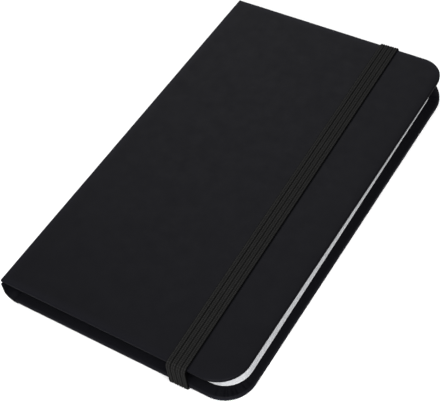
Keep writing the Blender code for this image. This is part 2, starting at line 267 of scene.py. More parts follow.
def smooth(obj: bpy.types.Object, degrees: float = 35.0) -> None:
    """Shades a piece smooth, apart from edges sharper than an angle."""
    pick(obj)
    bpy.ops.object.shade_smooth_by_angle(angle=math.radians(degrees))


def swept_grid(name: str, across: int, along: int,
               place: Callable[[int, int], Vector], uv: Callable[[int, int], Point]
               ) -> bpy.types.Object:
    """A closed tube of any section, shaped from a grid that is rolled up and capped.

    Args:
        name: Name of the piece.
        across: Faces round the section.
        along: Faces along the path.
        place: Gives the place of column i at row j.
        uv: Gives the surface coordinates of column i at row j.

    Returns:
        The new object.
    """
    deselect_all()
    bpy.ops.mesh.primitive_grid_add(x_subdivisions=across, y_subdivisions=along, size=1.0)
    obj = bpy.context.active_object
    obj.name = name
    obj.data.name = name
    cells = {}
    for vertex in obj.data.vertices:
        column = round((vertex.co.x + 0.5) * across)
        row = round((vertex.co.y + 0.5) * along)
        cells[vertex.index] = (column, row)
    layer = obj.data.uv_layers[0] if obj.data.uv_layers else obj.data.uv_layers.new(name="UVMap")
    for loop in obj.data.loops:
        layer.data[loop.index].uv = uv(*cells[loop.vertex_index])
    for vertex in obj.data.vertices:
        vertex.co = place(*cells[vertex.index])
    with editing(obj, "EDGE"):
        bpy.ops.mesh.select_all(action="SELECT")
        bpy.ops.mesh.remove_doubles(threshold=1e-7)
        bpy.ops.mesh.select_all(action="DESELECT")
        bpy.ops.mesh.select_non_manifold(extend=False)
        bpy.ops.mesh.edge_face_add()
    with editing(obj, "EDGE"):
        bpy.ops.mesh.select_non_manifold(extend=False)
        bpy.ops.mesh.fill_holes(sides=0)
    tidy_normals(obj)
    return obj


def cut_with_box(obj: bpy.types.Object, size: Vector, centre: Vector, angle: float) -> None:
    """Cuts a box out of a piece.

    Args:
        obj: The piece.
        size: The box's sides.
        centre: Its middle.
        angle: Its turn about Z.
    """
    deselect_all()
    bpy.ops.mesh.primitive_cube_add(size=1.0, location=centre, rotation=(0, 0, angle))
    box = bpy.context.active_object
    box.scale = size
    cut = obj.modifiers.new("cut", "BOOLEAN")
    cut.operation = "DIFFERENCE"
    cut.solver = "EXACT"
    cut.object = box
    pick(obj)
    bpy.ops.object.modifier_apply(modifier=cut.name)
    bpy.data.objects.remove(box, do_unlink=True)


def arc(centre: Point, radius: float, first: float, last: float, steps: int) -> list[Point]:
    """Points on an arc, both ends included.

    Args:
        centre: Middle of the arc.
        radius: Its radius.
        first: Angle of the first point, in degrees.
        last: Angle of the last point.
        steps: Number of steps between them.

    Returns:
        The points in order.
    """
    angles = [math.radians(first + (last - first) * k / steps) for k in range(steps + 1)]
    return [(centre[0] + radius * math.cos(a), centre[1] + radius * math.sin(a)) for a in angles]


def along_spine(section: list[Point], y_low: float, y_high: float, name: str
                ) -> bpy.types.Object:
    """A bar of one section in x and z, running along the spine.

    Args:
        section: Corners in x and z.
        y_low: Where it starts.
        y_high: Where it ends.
        name: Name of the piece.

    Returns:
        The new object.
    """
    obj = flat_piece(name, section, 0.0)
    for vertex in obj.data.vertices:
        vertex.co = (vertex.co.x, y_low, vertex.co.y)
    with editing(obj):
        bpy.ops.mesh.select_all(action="SELECT")
        bpy.ops.mesh.extrude_region_move(
            TRANSFORM_OT_translate={"value": (0, y_high - y_low, 0)})
    tidy_normals(obj)
    return obj


def finish_piece(obj: bpy.types.Object, body: Body | str, slot: Slot,
                 stands_for: tuple[str, ...] = ()) -> None:
    """Puts a finished piece on its body, hides the CAD nodes that it stands for and logs its
    faces.

    Args:
        obj: The piece.
        body: The body that it rides on, or an empty name for a piece left on no body.
        slot: The record's slot for its finish; not used.
        stands_for: CAD nodes that it hides.
    """
    name = body.value if isinstance(body, Body) else body
    if name:
        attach(obj, name)
    if stands_for:
        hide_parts(*stands_for)
    LOG.info("%s: %d faces on %s", obj.name, len(obj.data.polygons), name or "two bodies")


# ---- Finishes -------------------------------------------------------------------------------


class Graph:
    """A node tree with short ways to add and join nodes."""

    def __init__(self, tree: bpy.types.NodeTree) -> None:
        """Wraps a tree."""
        self.tree = tree

    def add(self, kind: str, inputs: dict | None = None, **settings) -> bpy.types.Node:
        """Adds a node, sets it up and joins what feeds it.

        Args:
            kind: The node's type.
            inputs: Values or sockets by input name or number.
            settings: The node's own properties.

        Returns:
            The new node.
        """
        node = self.tree.nodes.new(kind)
        for key, value in settings.items():
            setattr(node, key, value)
        for key, value in (inputs or {}).items():
            if isinstance(value, bpy.types.NodeSocket):
                self.tree.links.new(value, node.inputs[key])
            else:
                node.inputs[key].default_value = value
        return node

    def maths(self, operation: str, *values) -> bpy.types.NodeSocket:
        """Adds a Math node.

        Args:
            operation: What it does.
            values: Its inputs, numbers or sockets.

        Returns:
            Its result.
        """
        node = self.add("ShaderNodeMath", dict(enumerate(values)), operation=operation)
        return node.outputs[0]

    def group(self, tree: bpy.types.NodeTree, inputs: dict) -> bpy.types.Node:
        """Places a node group with its values."""
        return self.add("ShaderNodeGroup", inputs, node_tree=tree)


def effect_group(name: str, inputs: dict[str, float], outputs: list[str]
                 ) -> tuple[bpy.types.NodeTree, Graph, bpy.types.Node, bpy.types.Node]:
    """Starts a shader node group that reads a vector and some numbers.

    Args:
        name: Name of the effect.
        inputs: Number inputs with their usual values.
        outputs: Names of the number outputs.

    Returns:
        The tree, its graph, its input node and its output node.
    """
    tree = bpy.data.node_groups.new(name, "ShaderNodeTree")
    tree.interface.new_socket("Vector", in_out="INPUT", socket_type="NodeSocketVector")
    for key, value in inputs.items():
        socket = tree.interface.new_socket(key, in_out="INPUT", socket_type="NodeSocketFloat")
        socket.default_value = value
    for key in outputs:
        tree.interface.new_socket(key, in_out="OUTPUT", socket_type="NodeSocketFloat")
    graph = Graph(tree)
    return tree, graph, graph.add("NodeGroupInput"), graph.add("NodeGroupOutput")


def mottle_effect() -> bpy.types.NodeTree:
    """Slow, cloudy change over a surface, as a factor round one.

    Returns:
        The node group: Vector, Size and Spread in, Factor out.
    """
    if "mottle" in bpy.data.node_groups:
        return bpy.data.node_groups["mottle"]
    tree, graph, given, out = effect_group("mottle", {"Size": 0.01, "Spread": 0.1}, ["Factor"])
    scale = graph.maths("DIVIDE", 1.0, given.outputs["Size"])
    noise = graph.add("ShaderNodeTexNoise", {"Vector": given.outputs["Vector"], "Scale": scale,
                                             "Detail": 3.0, "Roughness": 0.55})
    centred = graph.maths("SUBTRACT", noise.outputs["Fac"], 0.5)
    swing = graph.maths("MULTIPLY", centred, graph.maths("MULTIPLY", given.outputs["Spread"], 2.0))
    tree.links.new(graph.maths("ADD", swing, 1.0), out.inputs["Factor"])
    return tree


def grain_effect() -> bpy.types.NodeTree:
    """Fine pebbled grain, as a height from nought to one.

    Returns:
        The node group: Vector, Size and Softness in, Height out.
    """
    if "grain" in bpy.data.node_groups:
        return bpy.data.node_groups["grain"]
    tree, graph, given, out = effect_group("grain", {"Size": 0.0002, "Softness": 0.5}, ["Height"])
    scale = graph.maths("DIVIDE", 1.0, given.outputs["Size"])
    cells = graph.add("ShaderNodeTexVoronoi", {"Vector": given.outputs["Vector"], "Scale": scale},
                      feature="DISTANCE_TO_EDGE")
    pebble = graph.maths("SMOOTH_MIN", cells.outputs["Distance"], 0.35, given.outputs["Softness"])
    finer = graph.maths("MULTIPLY", scale, 2.7)
    noise = graph.add("ShaderNodeTexNoise", {"Vector": given.outputs["Vector"], "Scale": finer,
                                             "Detail": 2.0})
    sum_ = graph.maths("MULTIPLY_ADD", noise.outputs["Fac"], 0.35, pebble)
    tree.links.new(sum_, out.inputs["Height"])
    return tree


@dataclass(frozen=True)
class Finish:
    """What every finish has: a name, a colour and a roughness."""

    name: str
    colour: tuple[float, float, float]
    roughness: float
    mottle_size: float = 0.012
    mottle_spread: float = 0.08
    specular: float = 0.5
    sheen_tint: tuple[float, float, float] = (1.0, 1.0, 1.0)

    def start(self) -> tuple[bpy.types.Material, Graph, bpy.types.Node, bpy.types.NodeSocket]:
        """Makes the material and its coordinates.

        Returns:
            The material, its graph, its shader and the Object coordinates.
        """
        material = bpy.data.materials.new(self.name)
        material.use_nodes = True
        graph = Graph(material.node_tree)
        shader = material.node_tree.nodes["Principled BSDF"]
        shader.inputs["Specular IOR Level"].default_value = self.specular
        shader.inputs["Specular Tint"].default_value = (*self.sheen_tint, 1.0)
        place = graph.add("ShaderNodeTexCoord").outputs["Object"]
        return material, graph, shader, place

    def tinted(self, graph: Graph, place: bpy.types.NodeSocket,
               factor: bpy.types.NodeSocket | None = None) -> bpy.types.NodeSocket:
        """The finish's colour, clouded a little, and darkened or lightened by a factor.

        Args:
            graph: The material's graph.
            place: Coordinates for the clouding.
            factor: A further factor on the colour.

        Returns:
            The colour.
        """
        cloud = graph.group(mottle_effect(), {"Vector": place, "Size": self.mottle_size,
                                              "Spread": self.mottle_spread}).outputs["Factor"]
        if factor is not None:
            cloud = graph.maths("MULTIPLY", cloud, factor)
        scaled = graph.add("ShaderNodeVectorMath", {0: self.colour, "Scale": cloud},
                           operation="SCALE")
        return scaled.outputs[0]

    def bump(self, graph: Graph, shader: bpy.types.Node, height: bpy.types.NodeSocket,
             depth: float, below: bpy.types.NodeSocket | None = None) -> bpy.types.NodeSocket:
        """Adds relief to the shader's normal.

        Args:
            graph: The material's graph.
            shader: The shader.
            height: Height from nought to one.
            depth: What a height of one is, in metres.
            below: The normal of coarser relief underneath.

        Returns:
            The new normal.
        """
        inputs = {"Height": height, "Distance": depth, "Strength": 1.0}
        if below is not None:
            inputs["Normal"] = below
        normal = graph.add("ShaderNodeBump", inputs).outputs["Normal"]
        graph.tree.links.new(normal, shader.inputs["Normal"])
        return normal


@dataclass(frozen=True)
class SoftCovering(Finish):
    """Soft matte black covering with a very fine grain. It is paler along its edges, partly rub
    and partly painted highlight, and less shiny in the corner creases, which is painted shade.
    """

    grain_size: float = 0.00022
    grain_depth: float = 0.000012
    wave_depth: float = 0.00006
    rub_and_highlight_gain: float = 1.8

    def material(self) -> bpy.types.Material:
        """Builds the material.

        Returns:
            The new material.
        """
        material, graph, shader, place = self.start()
        # Painted highlight and wear: the base colour is made paler by the edge mask read here.
        rub_and_highlight = graph.add("ShaderNodeAttribute", attribute_name="rub_and_highlight").outputs["Fac"]
        gain = graph.maths("MULTIPLY_ADD", rub_and_highlight, self.rub_and_highlight_gain, 1.0)
        graph.tree.links.new(self.tinted(graph, place, gain), shader.inputs["Base Color"])
        cloud = graph.group(mottle_effect(), {"Vector": place, "Size": 0.004,
                                              "Spread": 0.10}).outputs["Factor"]
        graph.tree.links.new(graph.maths("MULTIPLY", cloud, self.roughness),
                             shader.inputs["Roughness"])
        waves = graph.add("ShaderNodeTexNoise", {"Vector": place, "Scale": 28.0, "Detail": 1.0})
        # Painted shade in the turned-in corner creases: the specular level is lowered there.
        crease_and_shade = graph.add("ShaderNodeAttribute", attribute_name="crease_and_shade").outputs["Fac"]
        left = graph.maths("MULTIPLY_ADD", crease_and_shade, -1.0, 1.0)
        graph.tree.links.new(graph.maths("MULTIPLY", left, self.specular),
                             shader.inputs["Specular IOR Level"])
        swell = self.bump(graph, shader, waves.outputs["Fac"], self.wave_depth)
        grain = graph.group(grain_effect(), {"Vector": place, "Size": self.grain_size,
                                             "Softness": 0.25}).outputs["Height"]
        self.bump(graph, shader, grain, self.grain_depth, swell)
        return material


@dataclass(frozen=True)
class RibbedElastic(Finish):
    """Black knitted elastic, with painted shade in its grooves and on its sides. Its surface
    coordinates are millimetres across and along.
    """

    cord_width: float = 0.8625
    stitch_length: float = 0.62
    stitch_depth: float = 0.00008

    def material(self) -> bpy.types.Material:
        """Builds the material.

        Returns:
            The new material.
        """
        material, graph, shader, place = self.start()
        uv = graph.add("ShaderNodeUVMap", uv_map="UVMap").outputs["UV"]
        parts = graph.add("ShaderNodeSeparateXYZ", {0: uv})
        across = graph.maths("FRACT", graph.maths("DIVIDE", parts.outputs["X"], self.cord_width))
        off_centre = graph.maths("ABSOLUTE", graph.maths("MULTIPLY_ADD", across, 2.0, -1.0))
        lean = graph.maths("MULTIPLY", off_centre, 0.45)
        turns = graph.maths("ADD", graph.maths("DIVIDE", parts.outputs["Y"], self.stitch_length),
                            lean)
        wave = graph.maths("SINE", graph.maths("MULTIPLY", turns, 2 * math.pi))
        stitch = graph.maths("MULTIPLY_ADD", wave, 0.5, 0.5)
        fibres = graph.add("ShaderNodeTexNoise", {"Vector": place, "Scale": 2600.0,
                                                  "Detail": 2.0}).outputs["Fac"]
        height = graph.maths("MULTIPLY_ADD", fibres, 0.5, stitch)
        # Painted shade: colour, sheen and specular drop to a tenth in the grooves and on the
        # band's sides, by the crest mask.
        crest = graph.add("ShaderNodeAttribute", attribute_name="crest").outputs["Fac"]
        groove_and_side_shade = graph.maths("MULTIPLY_ADD", graph.maths("POWER", crest, 2.4), 0.90, 0.10)
        weave = graph.maths("MULTIPLY_ADD", fibres, 0.9, graph.maths("MULTIPLY", stitch, 0.5))
        tone = graph.maths("MULTIPLY", groove_and_side_shade, graph.maths("ADD", weave, 0.35))
        graph.tree.links.new(self.tinted(graph, place, tone), shader.inputs["Base Color"])
        shader.inputs["Roughness"].default_value = self.roughness
        graph.tree.links.new(graph.maths("MULTIPLY", groove_and_side_shade, 0.02), shader.inputs["Sheen Weight"])
        shader.inputs["Sheen Roughness"].default_value = 0.4
        graph.tree.links.new(graph.maths("MULTIPLY", groove_and_side_shade, self.specular),
                             shader.inputs["Specular IOR Level"])
        self.bump(graph, shader, height, self.stitch_depth)
        return material


@dataclass(frozen=True)
class FibrousSheet(Finish):
    """Paper or board: faint fibres, and painted shade on the faces where it is cut, for the gaps
    between stacked leaves.
    """

    fibre_size: float = 0.0006
    fibre_depth: float = 0.000008
    painted_edge_shade: float = 0.02

    def material(self) -> bpy.types.Material:
        """Builds the material.

        Returns:
            The new material.
        """
        material, graph, shader, place = self.start()
        fibre = graph.add("ShaderNodeTexNoise", {"Vector": place, "Scale": 1 / self.fibre_size,
                                                 "Detail": 4.0, "Distortion": 0.6})
        cut = graph.add("ShaderNodeAttribute", attribute_name="cut").outputs["Fac"]
        # Painted shade on the cut edges of the leaves.
        shade = graph.maths("MULTIPLY_ADD", cut, -self.painted_edge_shade, 1.0)
        fleck = graph.maths("MULTIPLY_ADD", fibre.outputs["Fac"], 0.05, 0.975)
        tone = graph.maths("MULTIPLY", fleck, shade)
        graph.tree.links.new(self.tinted(graph, place, tone), shader.inputs["Base Color"])
        shader.inputs["Roughness"].default_value = self.roughness
        self.bump(graph, shader, fibre.outputs["Fac"], self.fibre_depth)
        return material


@dataclass(frozen=True)
class WovenCloth(Finish):
    """Open weave or twisted yarn, from two crossing waves."""

    yarn_pitch: float = 0.0005
    yarn_depth: float = 0.00006

    def material(self) -> bpy.types.Material:
        """Builds the material.

        Returns:
            The new material.
        """
        material, graph, shader, place = self.start()
        parts = graph.add("ShaderNodeSeparateXYZ", {0: place})
        rate = 2 * math.pi / self.yarn_pitch
        warp = graph.maths("SINE", graph.maths("MULTIPLY", parts.outputs["Y"], rate))
        weft = graph.maths("SINE", graph.maths("MULTIPLY", parts.outputs["Z"], rate))
        height = graph.maths("MULTIPLY_ADD", graph.maths("MAXIMUM", warp, weft), 0.5, 0.5)
        tone = graph.maths("MULTIPLY_ADD", height, 0.35, 0.65)
        graph.tree.links.new(self.tinted(graph, place, tone), shader.inputs["Base Color"])
        shader.inputs["Roughness"].default_value = self.roughness
        self.bump(graph, shader, height, self.yarn_depth)
        return material


COVERING = SoftCovering("soft_black_covering", (0.0021, 0.0021, 0.0030), 0.60, 0.020, 0.10,
                        specular=0.085, sheen_tint=(0.92, 0.92, 1.0))
KNIT = RibbedElastic("black_elastic", (0.0118, 0.0117, 0.0115), 0.85, 0.006, 0.10, specular=0.05)
PAGE = FibrousSheet("white_paper", (0.545, 0.55, 0.567), 0.85, 0.015, 0.02, specular=0.3)
END_SHEET = FibrousSheet("end_paper", (0.54, 0.54, 0.55), 0.85, 0.015, 0.03, specular=0.3)
BOARD = FibrousSheet("greyboard", (0.30, 0.29, 0.27), 0.90, 0.004, 0.15, specular=0.2,
                     fibre_size=0.0009, fibre_depth=0.00003)
GAUZE = WovenCloth("gauze", (0.60, 0.59, 0.56), 0.95, 0.005, 0.06, specular=0.2)
YARN = WovenCloth("linen_thread", (0.62, 0.61, 0.58), 0.80, 0.002, 0.05, specular=0.2,
                  yarn_pitch=0.0003, yarn_depth=0.00003)


class Wardrobe:
    """The notebook's materials, each built once."""

    def __init__(self) -> None:
        """Builds them all."""
        self.by_slot = {
            Slot.COVERING: COVERING.material(),
            Slot.ELASTIC: KNIT.material(),
            Slot.PAPER: PAGE.material(),
            Slot.END_PAPER: END_SHEET.material(),
            Slot.GREYBOARD: BOARD.material(),
            Slot.GAUZE: GAUZE.material(),
            Slot.THREAD: YARN.material(),
        }

    def dress(self, obj: bpy.types.Object, slot: Slot) -> None:
        """Gives a piece its one material.

        Args:
            obj: The piece.
            slot: Which finish it has.
        """
        if not obj.material_slots:
            obj.data.materials.append(self.by_slot[slot])
        for entry in obj.material_slots:
            entry.link = "OBJECT"
            entry.material = self.by_slot[slot]


# ---- Sizes read from the frame ----------------------------------------------------------------


@dataclass(frozen=True)
class Book:
    """Edges and heights of the notebook, read from the frame."""

    fore_edge_skew: float = math.radians(0.58)
    skin: float = 0.35 * MM
    spine_radius: float = 4.0 * MM

    @functools.cached_property
    def fold_x(self) -> float:
        """Where the covers fold, at the outer face of the spine."""
        return frame["joints"][0]["pos_m"][0]

    @functools.cached_property
    def middle_z(self) -> float:
        """Height of the fold, half way up the spine."""
        return frame["joints"][0]["pos_m"][2]

    @functools.cached_property
    def half_length(self) -> float:
        """Half the covers' length."""
        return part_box("cover_wrap_front")[1].y

    @functools.cached_property
    def back_outer(self) -> float:
        """Height of the back cover's outer face."""
        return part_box("cover_wrap_back")[0].z

    @functools.cached_property
    def front_outer(self) -> float:
        """Height of the front cover's outer face."""
        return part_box("cover_wrap_front")[1].z

    @functools.cached_property
    def band_x(self) -> float:
        """Middle of the elastic band half way along the notebook."""
        low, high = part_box("elastic_band")
        return (low.x + high.x) / 2

    @functools.cached_property
    def cover_thickness(self) -> float:
        """Thickness of a cover, without the sheet glued inside it."""
        return self.front_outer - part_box("front_pastedown")[1].z - 0.1 * MM


BOOK = Book()


def cover_outline(spine_x: float, fore_x: float, reach: dict[End, float],
                  radii: dict[End, float], steps: int) -> list[Point]:
    """A cover seen from above: square at the spine, rounded at the fore-edge.

    Args:
        spine_x: Its edge at the spine.
        fore_x: Its edge at the fore-edge.
        reach: Its length from the middle to the head and to the tail.
        radii: Its corner radius at the head and at the tail.
        steps: Steps in each corner.

    Returns:
        The corners, anticlockwise.
    """
    low, high = radii[End.TAIL], radii[End.HEAD]
    tail = arc((fore_x - low, low - reach[End.TAIL]), low, -90, 0, steps)
    head = arc((fore_x - high, reach[End.HEAD] - high), high, 0, 90, steps)
    return [(spine_x, -reach[End.TAIL])] + tail + head + [(spine_x, reach[End.HEAD])]


# ---- Covers -----------------------------------------------------------------------------------


@dataclass
class Cover:
    """One cover: board wrapped in soft covering, its edges rounded and its corners pleated."""

    side: Side
    node: str
    body: Body
    wardrobe: Wardrobe
    radii: dict[End, float]
    spread: float
    tail_short: float
    shoulder_width: float = 0.42 * MM
    shoulder_height: float = 0.45 * MM
    crown_width: float = 2.6 * MM
    crown_height: float = 0.16 * MM
    inner_round: float = 0.45 * MM
    corner_steps: int = 64
    pleats: int = 8
    # Edge lightening, partly rub and partly painted highlight: strongest at the head, weaker at
    # the spine and tail. The back cover's rim gets painted highlight alone.
    head_rub_and_highlight: float = 1.0
    tail_rub_and_highlight: float = 0.3
    spine_rub_and_highlight: float = 0.7
    rim_highlight: float = 3.5
    pleat_depth: float = 0.20 * MM
    beyond_spine: float = 8.0 * MM
    board_inset: float = 0.50 * MM
    board_easing: float = 0.12 * MM
    plump: float = 0.15 * MM

    @functools.cached_property
    def outer_z(self) -> float:
        """Height of the cover's outer face."""
        return BOOK.front_outer if self.side is Side.FRONT else BOOK.back_outer

    @functools.cached_property
    def inner_z(self) -> float:
        """Height of its inner face."""
        return self.outer_z - self.side.value * BOOK.cover_thickness

    @functools.cached_property
    def edges(self) -> tuple[float, float]:
        """The cover's edges at the spine and at the fore-edge.

        Returns:
            Their two places along x.
        """
        low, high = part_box(self.node)
        if self.side is Side.BACK:
            return low.x + BOOK.spine_radius, high.x + self.spread
        return low.x - self.plump, high.x + self.spread

    @functools.cached_property
    def reach(self) -> dict[End, float]:
        """How far the cover goes from the middle to the head and to the tail."""
        half = BOOK.half_length + self.plump / 3
        return {End.HEAD: half, End.TAIL: half - self.tail_short}

    def shoulder(self) -> list[Point]:
        """How far in and how far out each ring on the outer side lies.

        Returns:
            Steps of inset and rise, from the cover's widest line to its outer face.
        """
        rings = []
        for k in range(1, 9):
            turn = math.radians(90 * k / 8)
            rings.append((self.shoulder_width * (1 - math.cos(turn)),
                          self.shoulder_height * math.sin(turn)))
        for k in range(1, 5):
            part = k / 4
            rings.append((self.shoulder_width + self.crown_width * part,
                          self.shoulder_height + self.crown_height * math.sin(part * math.pi / 2)))
        return rings

    def turned_in(self) -> list[Point]:
        """The same on the inner side, where the covering is turned in.

        Returns:
            Steps of inset and rise, from the widest line to the inner face.
        """
        drop = BOOK.cover_thickness - self.shoulder_height - self.crown_height
        rings = []
        for k in range(1, 6):
            turn = math.radians(90 * k / 5)
            rings.append((self.inner_round * (1 - math.cos(turn)), drop * math.sin(turn)))
        for inset in (0.9, 1.4, 1.9, 2.4, 2.9, 3.5, 4.2, 5.0):
            rings.append((inset * MM, drop))
        return rings

    def inset_rings(self, obj: bpy.types.Object, up: bool, rings: list[Point]) -> None:
        """Insets one face of the slab again and again, so that its edge comes out round.

        Args:
            obj: The slab.
            up: Whether the upper or the lower face.
            rings: Inset and rise of each ring.
        """
        sign = 1 if up else -1
        with editing(obj):
            select_faces(obj, lambda face: face.normal.z * sign > 0.9)
            inset, rise = 0.0, 0.0
            for next_inset, next_rise in rings:
                bpy.ops.mesh.inset(thickness=next_inset - inset, depth=next_rise - rise,
                                   use_even_offset=True)
                inset, rise = next_inset, next_rise

    def from_corner(self, spot: Vector) -> tuple[float, float] | None:
        """Where a point lies in one of the two rounded corners.

        Args:
            spot: The point.

        Returns:
            Its inset from the edge and its turn from 0 at the fore-edge to 1, or nothing
            outside the corners.
        """
        end = End.HEAD if spot.y > 0 else End.TAIL
        radius = self.radii[end]
        x = spot.x - (self.edges[1] - radius)
        y = spot.y * end.value - (self.reach[end] - radius)
        if x < 0.0 or y < 0.0:
            return None
        return radius - math.hypot(x, y), math.atan2(y, x) / (math.pi / 2)

    def crease_and_shade(self, spot: Vector) -> float:
        """How deep in a crease of the gathered covering a point lies.

        Args:
            spot: The point.

        Returns:
            1 at the bottom of a crease and 0 away from the corners.
        """
        place = self.from_corner(spot)
        if place is None:
            return 0.0
        inset, turn = place
        uneven = turn + 0.045 * math.sin(11 * turn) + 0.02 * math.sin(29 * turn)
        hollow = 1 - abs(math.sin(math.pi * self.pleats * uneven)) ** 0.8
        ends = math.sin(math.pi * min(1.0, max(0.0, turn))) ** 0.5
        return hollow * ends * math.exp(-((inset - 1.7 * MM) / (1.5 * MM)) ** 2)

    def pleat(self, obj: bpy.types.Object) -> None:
        """Gathers the turned-in covering into small pleats round the two corners.

        Args:
            obj: The slab.
        """
        for vertex in obj.data.vertices:
            if abs(vertex.co.z - self.inner_z) < 0.35 * MM:
                sink = self.pleat_depth * self.crease_and_shade(vertex.co)
                vertex.co.z += self.side.value * sink

    def mark_rub_and_highlight(self, obj: bpy.types.Object) -> None:
        """Stores how much each point is lightened, as rub and painted highlight, most at the head
        and spine, and how much painted shade it gets where it creases.

        Args:
            obj: The slab.
        """
        rub_and_highlight = obj.data.attributes.new("rub_and_highlight", "FLOAT", "POINT")
        crease_and_shade = obj.data.attributes.new("crease_and_shade", "FLOAT", "POINT")
        spine_x, fore_x = self.edges
        for vertex in obj.data.vertices:
            spot = vertex.co
            corner = self.from_corner(spot)
            end, share = (End.HEAD, self.head_rub_and_highlight) if spot.y > 0 else (End.TAIL, self.tail_rub_and_highlight)
            if corner is None:
                amount = share * self.nearness(self.reach[end] - abs(spot.y))
            else:
                amount = share * self.nearness(corner[0]) * min(1.0, max(0.0, corner[1] * 1.6))
            if self.side is Side.FRONT:
                amount = max(amount, self.spine_rub_and_highlight * self.nearness(spot.x - spine_x))
            inset = corner[0] if corner else min(self.reach[end] - abs(spot.y), fore_x - spot.x)
            # Painted highlight on the back cover's rim, stronger towards its outer face and weaker
            # along the straight ends.
            if inset < self.shoulder_width / 2 and self.side is Side.BACK:
                outward = abs(spot.z - self.inner_z) / BOOK.cover_thickness
                straight_end = corner is None and fore_x - spot.x > inset
                amount = max(amount, self.rim_highlight * outward * (0.35 if straight_end else 1.0))
            rub_and_highlight.data[vertex.index].value = amount
            # Painted shade: the crease depth is stored on the turned-in side to lower the specular
            # there.
            if abs(spot.z - self.inner_z) < 0.45 * MM:
                crease_and_shade.data[vertex.index].value = self.crease_and_shade(spot)

    def nearness(self, inset: float) -> float:
        """1 at an edge, falling to 0 where the crown ends."""
        return max(0.0, min(1.0, 1 - inset / (self.shoulder_width + self.crown_width)))

    def build(self) -> bpy.types.Object:
        """Models the cover.

        Returns:
            The finished piece, riding on its body.
        """
        spine_x, fore_x = self.edges
        front = self.side is Side.FRONT
        start_x = spine_x if front else spine_x - self.beyond_spine
        outline = cover_outline(start_x, fore_x, self.reach, self.radii, self.corner_steps)
        widest_z = self.outer_z - self.side.value * (self.shoulder_height + self.crown_height)
        sliver = 0.02 * MM
        name = f"{self.side.name.lower()}_cover_skin"
        obj = flat_piece(name, outline, widest_z - sliver / 2)
        thicken(obj, sliver)
        self.inset_rings(obj, front, self.shoulder())
        self.inset_rings(obj, not front, self.turned_in())
        self.pleat(obj)
        if not front:
            self.trim_spine_side(obj, spine_x)
            self.cut_slots(obj)
        tidy_normals(obj)
        self.mark_rub_and_highlight(obj)
        smooth(obj, 40)
        self.wardrobe.dress(obj, Slot.COVERING)
        finish_piece(obj, self.body, Slot.COVERING)
        self.build_board()
        return obj

    def build_board(self) -> None:
        """Models the board inside, its edges a little eased by the press."""
        node = f"{self.side.name.lower()}_board"
        low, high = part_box(node)
        reach = {end: self.reach[end] - self.board_inset for end in End}
        radii = {end: self.radii[end] - self.board_inset for end in End}
        outline = cover_outline(low.x, high.x, reach, radii, 16)
        board = flat_piece(f"{node}_pressed", outline, low.z)
        thicken(board, high.z - low.z)
        with editing(board, "EDGE"):
            bpy.ops.mesh.edges_select_sharp(sharpness=math.radians(60))
            bpy.ops.mesh.bevel(offset=self.board_easing, segments=2, affect="EDGES")
        tidy_normals(board)
        self.wardrobe.dress(board, Slot.GREYBOARD)
        finish_piece(board, self.body, Slot.GREYBOARD, (node,))

    def trim_spine_side(self, obj: bpy.types.Object, spine_x: float) -> None:
        """Cuts the slab square where the spine's curve takes over.

        Args:
            obj: The slab.
            spine_x: Where to cut.
        """
        with editing(obj):
            bpy.ops.mesh.select_all(action="SELECT")
            bpy.ops.mesh.bisect(plane_co=(spine_x, 0, 0), plane_no=(1, 0, 0), use_fill=True,
                                clear_inner=True)

    def cut_slots(self, obj: bpy.types.Object) -> None:
        """Cuts the two slots that the elastic goes in by.

        Args:
            obj: The slab.
        """
        for end in End:
            slot_y = end.value * (BOOK.half_length - Elastic.slot_inset)
            x = Elastic.middle_x(slot_y)
            size = Vector((Elastic.width + 0.6 * MM, 1.2 * MM, 1.8 * MM))
            centre = Vector((x, slot_y, BOOK.back_outer + 0.1 * MM))
            cut_with_box(obj, size, centre, Elastic.lean)


@dataclass
class Spine:
    """The covering round the spine, in one piece from cover to cover, and what backs it."""

    wardrobe: Wardrobe
    curve_steps: int = 16
    seam_gap: float = 0.05 * MM
    lap: float = 0.6 * MM

    def section(self) -> list[Point]:
        """The covering's section: up the outer face and back down the inner one.

        Returns:
            Corners in x and z.
        """
        x = BOOK.fold_x
        wall_x = x + 0.35 * MM
        radius = BOOK.spine_radius
        centre = (wall_x + radius, BOOK.back_outer + radius)
        top = BOOK.front_outer - BOOK.cover_thickness + 0.5 * MM
        outer = [(wall_x, top)]
        inner = [(wall_x + BOOK.skin, top)]
        for z in (BOOK.middle_z + self.seam_gap, BOOK.middle_z - self.seam_gap):
            outer.append((wall_x, z))
            inner.append((wall_x + BOOK.skin, z))
        outer += arc(centre, radius, 180, 270, self.curve_steps)
        inner += arc(centre, radius - BOOK.skin, 180, 270, self.curve_steps)
        outer.append((centre[0] + self.lap, BOOK.back_outer))
        inner.append((centre[0] + self.lap, BOOK.back_outer + BOOK.skin))
        return outer + inner[::-1]

    def build(self) -> None:
        """Models the covering round the spine and dresses the layers behind it."""
        half = BOOK.half_length
        obj = along_spine(self.section(), -half, half, "spine_skin")
        # The same paler-edge mask is set evenly over the whole spine covering.
        attribute = obj.data.attributes.new("rub_and_highlight", "FLOAT", "POINT")
        for vertex in obj.data.vertices:
            attribute.data[vertex.index].value = 0.25
        smooth(obj, 40)
        self.wardrobe.dress(obj, Slot.COVERING)
        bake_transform(obj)
        finish_piece(obj, "", Slot.COVERING, ("cover_wrap_front", "cover_wrap_back"))
        nodes = frame["nodes"]
        layers = {"spine_liner_": Slot.GREYBOARD, "mull_": Slot.GAUZE, "thread_": Slot.THREAD}
        for start, slot in layers.items():
            for name in nodes:
                if name.startswith(start):
                    self.wardrobe.dress(nodes[name], slot)


# ---- Pages --------------------------------------------------------------------------------------


